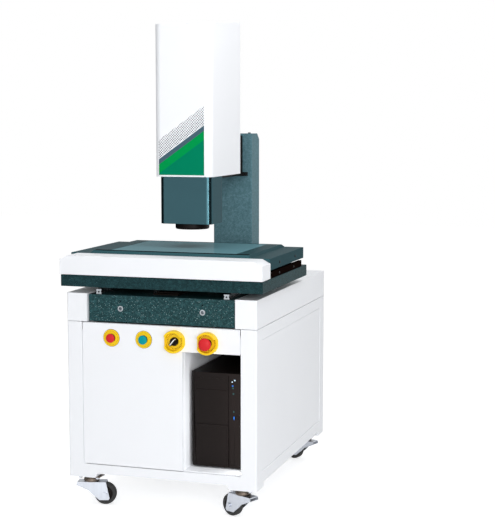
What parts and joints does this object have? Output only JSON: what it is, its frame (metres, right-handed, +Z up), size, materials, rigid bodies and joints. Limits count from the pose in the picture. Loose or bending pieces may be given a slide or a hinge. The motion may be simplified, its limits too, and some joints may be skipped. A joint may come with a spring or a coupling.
{
  "type": "vision measuring machine",
  "caption": "Free-standing vision measuring machine: camera head over a glass X-Y table on granite, in a white caster-mounted cabinet with operator switches and a computer bay.",
  "frame": {"origin": "on the floor under the centre of the bounding box", "axes": "+X to the operator's right, +Y from the operator to the back, +Z up; the front faces -Y"},
  "size_m": [0.745, 0.959, 1.735],
  "materials": {
    "white_paint": "satin powder coat",
    "granite": "ground and lapped, fine speckle",
    "slab_granite": "ground, dark",
    "plate_metal": "matt anodised look, grey-green",
    "column_grey": "satin",
    "housing_grey": "semi-gloss",
    "black_paint": "satin",
    "black_plastic": "fine texture",
    "yellow_plastic": "smooth",
    "red_plastic": "smooth",
    "teal_plastic": "smooth",
    "ground_steel": "ground",
    "zinc_steel": "zinc plated",
    "dark_steel": "blackened",
    "cast_iron": "painted",
    "magnet_steel": "nickel plated",
    "epoxy": "cast resin",
    "tyre_rubber": "matt",
    "isolator_rubber": "matt",
    "table_glass": "polished",
    "lens_glass": "coated",
    "diffuser": "opal",
    "stripe_dark_green": "printed film",
    "stripe_green": "printed film",
    "stripe_slate": "printed film",
    "led_blue": "lit"
  },
  "bodies": {
    "machine": {"cabinet_frame": "white_paint", "front_panel": "white_paint", "side_panels": "white_paint", "back_panel": "white_paint", "rim_covers": "white_paint", "bay_liner": "white_paint", "computer_case": "black_paint", "computer_front": "black_plastic", "legend_discs": "yellow_plastic", "switch_guards": "yellow_plastic", "switch_bodies": "black_plastic", "caster_plates": "zinc_steel", "caster_bolts": "zinc_steel", "granite_base": "granite", "base_inserts": "ground_steel", "base_isolators": "isolator_rubber", "column": "granite", "head_arm": "cast_iron", "arm_bolts": "dark_steel", "head_cover": "white_paint", "z_rails": "ground_steel", "z_supports": "cast_iron", "z_motor": "black_paint", "y_rails": "ground_steel", "y_magnets": "magnet_steel"},
    "y_stage": {"y_slab": "slab_granite", "y_blocks": "dark_steel", "y_coil": "epoxy", "x_rails": "ground_steel", "x_magnets": "magnet_steel", "x_end_plates": "black_paint"},
    "x_stage": {"x_plate": "plate_metal", "x_blocks": "dark_steel", "x_coil": "epoxy", "plate_screws": "zinc_steel", "glass_frame": "plate_metal", "stage_glass": "table_glass", "backlight": "diffuser", "stage_apron": "white_paint"},
    "z_head": {"camera_housing": "housing_grey", "z_carriage": "cast_iron", "z_blocks": "dark_steel", "ring_light": "black_plastic", "lens_barrel": "black_paint", "lens_glass": "lens_glass"},
    "z_ball_screw": {"z_screw": "ground_steel"},
    "red_push": {"red_button": "red_plastic"},
    "green_push": {"green_button": "teal_plastic"},
    "selector": {"selector_knob": "black_plastic"},
    "stop_push": {"emergency_stop": "red_plastic"},
    "computer_push": {"computer_button": "black_plastic"},
    "caster_fl": {"caster_fork_fl": "zinc_steel"},
    "wheel_fl": {"caster_wheel_fl": "tyre_rubber"},
    "caster_fr": {"caster_fork_fr": "zinc_steel"},
    "wheel_fr": {"caster_wheel_fr": "tyre_rubber"},
    "caster_rl": {"caster_fork_rl": "zinc_steel"},
    "wheel_rl": {"caster_wheel_rl": "tyre_rubber"},
    "caster_rr": {"caster_fork_rr": "zinc_steel"},
    "wheel_rr": {"caster_wheel_rr": "tyre_rubber"}
  },
  "joints": [
    {"name": "y_travel", "type": "slide", "parent": "machine", "child": "y_stage", "axis": [0, 1, 0], "range_m": [-0.15, 0.15]},
    {"name": "x_travel", "type": "slide", "parent": "y_stage", "child": "x_stage", "axis": [1, 0, 0], "range_m": [-0.2, 0.2]},
    {"name": "z_travel", "type": "slide", "parent": "machine", "child": "z_head", "axis": [0, 0, 1], "range_m": [-0.05, 0.15]},
    {"name": "z_screw_turn", "type": "hinge", "parent": "machine", "child": "z_ball_screw", "pos_m": [0, 0.0815, 1.4], "axis": [0, 0, 1], "continuous": true},
    {"name": "red_press", "type": "slide", "parent": "machine", "child": "red_push", "axis": [0, 1, 0], "range_m": [0, 0.004], "stiffness_N_per_m": 400},
    {"name": "green_press", "type": "slide", "parent": "machine", "child": "green_push", "axis": [0, 1, 0], "range_m": [0, 0.004], "stiffness_N_per_m": 400},
    {"name": "selector_turn", "type": "hinge", "parent": "machine", "child": "selector", "pos_m": [0.055, -0.4355, 0.617], "axis": [0, 1, 0], "range_deg": [-90, 0]},
    {"name": "stop_press", "type": "slide", "parent": "machine", "child": "stop_push", "axis": [0, 1, 0], "range_m": [0, 0.005]},
    {"name": "computer_press", "type": "slide", "parent": "machine", "child": "computer_push", "axis": [0, 1, 0], "range_m": [0, 0.0015], "stiffness_N_per_m": 400},
    {"name": "swivel_fl", "type": "hinge", "parent": "machine", "child": "caster_fl", "pos_m": [-0.286, -0.3855, 0.085], "axis": [0, 0, 1], "continuous": true},
    {"name": "roll_fl", "type": "hinge", "parent": "caster_fl", "child": "wheel_fl", "pos_m": [-0.23749, -0.3734, 0.04], "axis": [-0.2419, 0.9703, 0], "continuous": true},
    {"name": "swivel_fr", "type": "hinge", "parent": "machine", "child": "caster_fr", "pos_m": [0.286, -0.3855, 0.085], "axis": [0, 0, 1], "continuous": true},
    {"name": "roll_fr", "type": "hinge", "parent": "caster_fr", "child": "wheel_fr", "pos_m": [0.24106, -0.36358, 0.04], "axis": [-0.4384, -0.8988, 0], "continuous": true},
    {"name": "swivel_rl", "type": "hinge", "parent": "machine", "child": "caster_rl", "pos_m": [-0.286, 0.4295, 0.085], "axis": [0, 0, 1], "continuous": true},
    {"name": "roll_rl", "type": "hinge", "parent": "caster_rl", "child": "wheel_rl", "pos_m": [-0.23845, 0.44495, 0.04], "axis": [-0.309, 0.9511, 0], "continuous": true},
    {"name": "swivel_rr", "type": "hinge", "parent": "machine", "child": "caster_rr", "pos_m": [0.286, 0.4295, 0.085], "axis": [0, 0, 1], "continuous": true},
    {"name": "roll_rr", "type": "hinge", "parent": "caster_rr", "child": "wheel_rr", "pos_m": [0.23845, 0.44495, 0.04], "axis": [-0.309, -0.9511, 0], "continuous": true}
  ],
  "couplings": [
    {"joint": "z_screw_turn", "follows": "z_travel", "rad_per_m": 628.32}
  ]
}
